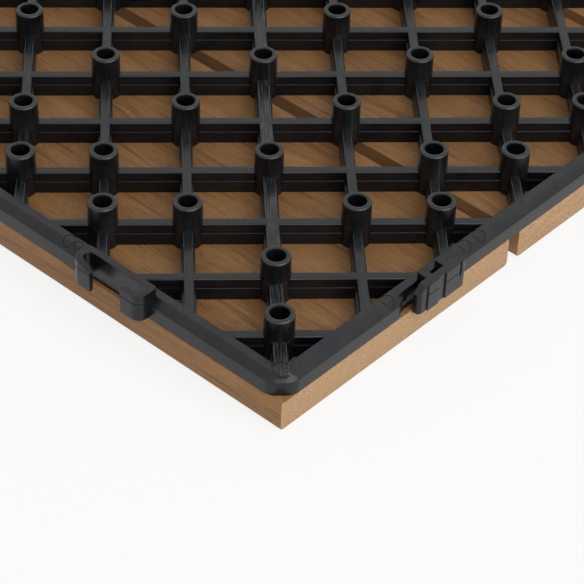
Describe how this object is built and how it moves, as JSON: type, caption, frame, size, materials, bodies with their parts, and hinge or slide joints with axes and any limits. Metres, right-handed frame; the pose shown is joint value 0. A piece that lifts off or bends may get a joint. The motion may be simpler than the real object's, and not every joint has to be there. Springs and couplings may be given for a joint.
{
  "type": "interlocking deck tile",
  "caption": "Square wooden deck tile seen from below: hardwood slats screwed to a black moulded grid with tubular feet and snap-in edge connectors.",
  "frame": {"origin": "on the floor under the middle of the tile, which lies on its walking faces", "axes": "+Z out of the underside, the way the feet point; slats run along Y; hooks on the -Y and +X sides, slotted brackets on the +Y and -X sides"},
  "size_m": [0.3076, 0.3076, 0.024],
  "materials": {
    "grid_plastic": "fine moulded satin, black",
    "slat_wood": "planed and oiled hardwood",
    "screw_steel": "plain stainless"
  },
  "bodies": {
    "root": {"base_grid": "grid_plastic", "slat_left": "slat_wood", "slat_middle": "slat_wood", "slat_right": "slat_wood", "fixing_screws": "screw_steel"}
  },
  "joints": []
}
